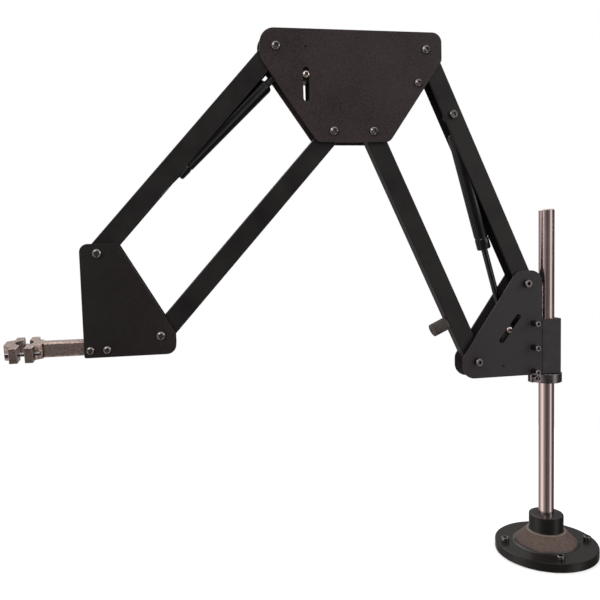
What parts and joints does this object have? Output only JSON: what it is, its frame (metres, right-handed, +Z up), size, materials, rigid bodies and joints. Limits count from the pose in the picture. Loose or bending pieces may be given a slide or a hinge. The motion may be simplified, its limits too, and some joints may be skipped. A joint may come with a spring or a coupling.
{
  "type": "balanced tool support arm",
  "caption": "Folding double-parallelogram support arm with gas springs, swivelling on a bench column, ending in a bar with a split tool clamp.",
  "frame": {"origin": "centre of the base flange's underside, on the column's axis, where the bench bolts pass", "axes": "+Z up along the column, -X towards the tool clamp at rest"},
  "size_m": [0.9287, 0.167, 0.8635],
  "materials": {
    "cast_black": "black painted casting",
    "ground_steel": "ground and polished",
    "plate_black": "satin black powder coat",
    "link_black": "satin black powder coat",
    "block_black": "black oxide, fine milled",
    "black_oxide": "black oxide",
    "zinc_steel": "zinc plated",
    "bare_steel": "milled",
    "spring_black": "gloss black",
    "rod_nitride": "nitrided, polished",
    "bronze": "plain",
    "rubber": "moulded"
  },
  "bodies": {
    "base": {"base_flange": "cast_black", "base_screws": "black_oxide", "column": "ground_steel", "column_grub_screw": "black_oxide"},
    "collar": {"shaft_collar": "block_black", "collar_screw": "black_oxide"},
    "bracket": {"bearing_block": "block_black", "column_bushes": "bronze", "shoulder_plate_front": "plate_black", "shoulder_plate_back": "plate_black", "block_screws": "black_oxide", "block_screw_sleeves": "black_oxide", "shoulder_pivot_bolts": "black_oxide", "shoulder_pivot_nuts": "black_oxide", "lower_anchor_slider": "black_oxide", "lower_slot_screw": "zinc_steel", "lower_cross_pin": "black_oxide", "lower_adjusting_screw": "zinc_steel"},
    "lower_outer": {"lower_outer_link": "link_black", "lower_outer_sleeves": "bare_steel", "spring_anchor_bolt": "black_oxide"},
    "lower_inner": {"lower_inner_link": "link_black", "lower_inner_sleeves": "bare_steel", "bumper": "rubber"},
    "elbow": {"elbow_plate_front": "plate_black", "elbow_plate_back": "plate_black", "elbow_pivot_bolts": "black_oxide", "elbow_pivot_nuts": "black_oxide", "stop_spacer": "bare_steel", "stop_screws": "black_oxide", "upper_anchor_slider": "black_oxide", "upper_anchor_pin": "bare_steel", "upper_slot_screw": "zinc_steel", "upper_cross_pin": "black_oxide", "upper_adjusting_screw": "zinc_steel"},
    "forearm_outer": {"forearm_outer_link": "link_black", "forearm_outer_sleeves": "bare_steel", "forearm_spring_pin": "black_oxide"},
    "forearm_inner": {"forearm_inner_link": "link_black", "forearm_inner_sleeves": "bare_steel"},
    "head": {"head_plate_front": "plate_black", "head_plate_back": "plate_black", "head_pivot_bolts": "black_oxide", "head_pivot_nuts": "black_oxide", "extension_bar": "bare_steel", "bar_screws": "black_oxide", "clamp_set_screw": "black_oxide"},
    "tool_clamp": {"clamp_inner_jaw": "bare_steel", "clamp_outer_jaw": "bare_steel", "clamp_bolts": "black_oxide"},
    "lower_spring_tube": {"lower_spring_tube": "spring_black", "lower_spring_tube_eye": "black_oxide"},
    "lower_spring_rod": {"lower_spring_rod": "rod_nitride", "lower_spring_rod_eye": "black_oxide", "lower_spring_piston": "bare_steel"},
    "upper_spring_tube": {"upper_spring_tube": "spring_black", "upper_spring_tube_eye": "black_oxide"},
    "upper_spring_rod": {"upper_spring_rod": "rod_nitride", "upper_spring_rod_eye": "black_oxide", "upper_spring_piston": "bare_steel"}
  },
  "joints": [
    {"name": "height_slide", "type": "slide", "parent": "base", "child": "collar", "axis": [0, 0, 1], "range_m": [-0.2, 0.15]},
    {"name": "column_swivel", "type": "hinge", "parent": "collar", "child": "bracket", "pos_m": [0, 0, 0.35], "axis": [0, 0, 1], "continuous": true},
    {"name": "lower_arm", "type": "hinge", "parent": "bracket", "child": "lower_outer", "pos_m": [-0.045, 0, 0.456], "axis": [0, -1, 0], "range_deg": [-14, 40]},
    {"name": "lower_parallel", "type": "hinge", "parent": "bracket", "child": "lower_inner", "pos_m": [-0.13, 0, 0.333], "axis": [0, -1, 0], "range_deg": [-15, 41]},
    {"name": "elbow_level", "type": "hinge", "parent": "lower_outer", "child": "elbow", "pos_m": [-0.21088, 0, 0.81998], "axis": [0, -1, 0], "range_deg": [-41, 15]},
    {"name": "forearm", "type": "hinge", "parent": "elbow", "child": "forearm_outer", "pos_m": [-0.44288, 0, 0.81998], "axis": [0, 1, 0], "range_deg": [-25, 45]},
    {"name": "forearm_parallel", "type": "hinge", "parent": "elbow", "child": "forearm_inner", "pos_m": [-0.35788, 0, 0.69698], "axis": [0, 1, 0], "range_deg": [-26, 46]},
    {"name": "head_level", "type": "hinge", "parent": "forearm_outer", "child": "head", "pos_m": [-0.71053, 0, 0.52273], "axis": [0, 1, 0], "range_deg": [-46, 26]},
    {"name": "clamp_tilt", "type": "hinge", "parent": "head", "child": "tool_clamp", "pos_m": [-0.79203, 0, 0.3868], "axis": [1, 0, 0], "range_deg": [-98, 82]},
    {"name": "lower_spring_swing", "type": "hinge", "parent": "lower_outer", "child": "lower_spring_tube", "pos_m": [-0.16692, 0, 0.72353], "axis": [0, -1, 0], "range_deg": [-7, 3]},
    {"name": "lower_spring_stroke", "type": "slide", "parent": "lower_spring_tube", "child": "lower_spring_rod", "axis": [0.2627, 0, -0.9649], "range_m": [-0.042, 0.0155]},
    {"name": "upper_spring_swing", "type": "hinge", "parent": "elbow", "child": "upper_spring_tube", "pos_m": [-0.43588, 0, 0.78699], "axis": [0, 1, 0], "range_deg": [-27, 48]},
    {"name": "upper_spring_stroke", "type": "slide", "parent": "upper_spring_tube", "child": "upper_spring_rod", "axis": [-0.7199, 0, -0.6941], "range_m": [-0.0135, 0.024]}
  ],
  "couplings": [
    {"joint": "lower_parallel", "follows": "lower_arm", "ratio": 1},
    {"joint": "elbow_level", "follows": "lower_arm", "ratio": -1},
    {"joint": "lower_spring_swing", "follows": "lower_arm", "ratio": -0.153},
    {"joint": "lower_spring_stroke", "follows": "lower_arm", "m_per_rad": -0.0581},
    {"joint": "forearm_parallel", "follows": "forearm", "ratio": 1},
    {"joint": "head_level", "follows": "forearm", "ratio": -1},
    {"joint": "upper_spring_swing", "follows": "forearm", "ratio": 1.032},
    {"joint": "upper_spring_stroke", "follows": "forearm", "m_per_rad": 0.0294}
  ]
}
